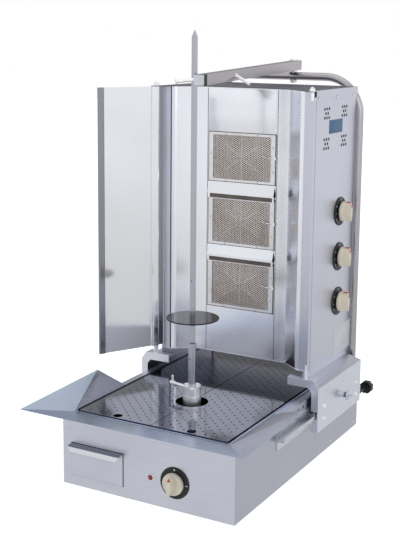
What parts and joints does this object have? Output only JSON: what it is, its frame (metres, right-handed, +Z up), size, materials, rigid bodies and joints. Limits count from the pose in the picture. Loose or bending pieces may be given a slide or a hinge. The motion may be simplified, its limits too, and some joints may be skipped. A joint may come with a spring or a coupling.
{
  "type": "gas doner kebab grill",
  "caption": "Upright gas doner grill: driven skewer over a perforated drip deck, burner housing on side rails, mirror shield and top steadying arm.",
  "frame": {"origin": "middle of the cabinet's underside", "axes": "+Z up, -Y towards the cook, +X to the side with the gas knobs"},
  "size_m": [0.5902, 0.833, 1.066],
  "materials": {
    "satin_steel": "fine satin grain",
    "mirror_steel": "mirror polished",
    "polished_steel": "turned and polished",
    "galvanised": "zinc plated",
    "black_plastic": "moulded",
    "beige_plastic": "moulded",
    "white_plastic": "moulded",
    "red_lens": "clear red",
    "ceramic": "perforated tile",
    "heat_steel": "heat tinted",
    "motor_paint": "baked enamel",
    "brass": "turned"
  },
  "bodies": {
    "cabinet": {"base_cabinet": "satin_steel", "bottom_plate": "galvanised", "catch_tray": "mirror_steel", "deck_plate_left": "mirror_steel", "deck_plate_right": "mirror_steel", "drawer_runners": "galvanised", "gearbox": "motor_paint", "drive_motor": "motor_paint", "motor_cradle": "galvanised", "rotary_switch": "black_plastic", "switch_dial": "black_plastic", "indicator_lamp": "red_lens", "slide_rails": "galvanised", "rear_frame": "satin_steel", "leg_saddles": "satin_steel", "arm_bolt": "galvanised", "arm_washers": "galvanised"},
    "spindle": {"output_shaft": "polished_steel", "hub": "polished_steel", "skewer": "polished_steel", "skewer_sleeve": "polished_steel"},
    "clamp": {"clamp_screw": "polished_steel"},
    "disc": {"meat_disc": "mirror_steel"},
    "drawer": {"drawer_box": "satin_steel", "drawer_front": "satin_steel"},
    "switch": {"switch_spindle": "black_plastic", "switch_knob": "beige_plastic"},
    "arm": {"support_arm": "satin_steel", "arm_cap": "white_plastic", "arm_guide": "polished_steel"},
    "carriage": {"slide_runners": "galvanised", "bracket_left": "satin_steel", "bracket_right": "satin_steel", "bracket_screws": "polished_steel", "lock_collar": "galvanised", "side_panel_left": "satin_steel", "side_panel_right": "satin_steel", "top_cover": "satin_steel", "hinge_pins": "polished_steel", "back_panel": "satin_steel", "housing_floor": "satin_steel", "burner_wall": "mirror_steel", "reflector_left": "mirror_steel", "reflector_right": "mirror_steel", "burner_box_1": "heat_steel", "burner_box_2": "heat_steel", "burner_box_3": "heat_steel", "ceramic_tiles": "ceramic", "guard_mesh": "heat_steel", "gas_manifold": "brass", "gas_dials": "black_plastic"},
    "lock": {"lock_screw": "galvanised"},
    "star": {"star_knob": "black_plastic"},
    "shield": {"shield_left": "mirror_steel"},
    "tap_1": {"tap_stem_1": "brass"},
    "knob_1": {"gas_knob_1": "beige_plastic"},
    "tap_2": {"tap_stem_2": "brass"},
    "knob_2": {"gas_knob_2": "beige_plastic"},
    "tap_3": {"tap_stem_3": "brass"},
    "knob_3": {"gas_knob_3": "beige_plastic"}
  },
  "joints": [
    {"name": "spindle_spin", "type": "hinge", "parent": "cabinet", "child": "spindle", "pos_m": [0, -0.151, 0.2], "axis": [0, 0, 1], "continuous": true},
    {"name": "clamp_turn", "type": "hinge", "parent": "spindle", "child": "clamp", "pos_m": [0, -0.151, 0.21], "axis": [-0.9703, 0.2419, 0], "range_deg": [-180, 180]},
    {"name": "disc_slide", "type": "slide", "parent": "spindle", "child": "disc", "axis": [0, 0, 1], "range_m": [-0.04, 0.4]},
    {"name": "drawer_slide", "type": "slide", "parent": "cabinet", "child": "drawer", "axis": [0, -1, 0], "range_m": [0, 0.25]},
    {"name": "switch_turn", "type": "hinge", "parent": "cabinet", "child": "switch", "pos_m": [0.0785, -0.363, 0.0655], "axis": [0, -1, 0], "range_deg": [-90, 0]},
    {"name": "arm_swing", "type": "hinge", "parent": "cabinet", "child": "arm", "pos_m": [0.025, 0.343, 0.975], "axis": [0, 0, 1], "range_deg": [0, 22]},
    {"name": "carriage_slide", "type": "slide", "parent": "cabinet", "child": "carriage", "axis": [0, -1, 0], "range_m": [0, 0.13]},
    {"name": "lock_turn", "type": "hinge", "parent": "carriage", "child": "lock", "pos_m": [0.2555, 0.177, 0.145], "axis": [1, 0, 0], "range_deg": [-90, 180]},
    {"name": "star_turn", "type": "hinge", "parent": "carriage", "child": "star", "pos_m": [0.2495, 0.312, 0.104], "axis": [0, 1, 0], "range_deg": [-180, 180]},
    {"name": "shield_swing", "type": "hinge", "parent": "carriage", "child": "shield", "pos_m": [-0.216, 0.033, 0.576], "axis": [0, 0, 1], "range_deg": [-120, 50]},
    {"name": "knob_push_1", "type": "slide", "parent": "carriage", "child": "tap_1", "axis": [-1, 0, 0], "range_m": [0, 0.003], "stiffness_N_per_m": 800},
    {"name": "knob_turn_1", "type": "hinge", "parent": "tap_1", "child": "knob_1", "pos_m": [0.2123, 0.237, 0.61], "axis": [1, 0, 0], "range_deg": [0, 210]},
    {"name": "knob_push_2", "type": "slide", "parent": "carriage", "child": "tap_2", "axis": [-1, 0, 0], "range_m": [0, 0.003], "stiffness_N_per_m": 800},
    {"name": "knob_turn_2", "type": "hinge", "parent": "tap_2", "child": "knob_2", "pos_m": [0.2123, 0.237, 0.4915], "axis": [1, 0, 0], "range_deg": [0, 210]},
    {"name": "knob_push_3", "type": "slide", "parent": "carriage", "child": "tap_3", "axis": [-1, 0, 0], "range_m": [0, 0.003], "stiffness_N_per_m": 800},
    {"name": "knob_turn_3", "type": "hinge", "parent": "tap_3", "child": "knob_3", "pos_m": [0.2123, 0.237, 0.373], "axis": [1, 0, 0], "range_deg": [0, 210]}
  ]
}
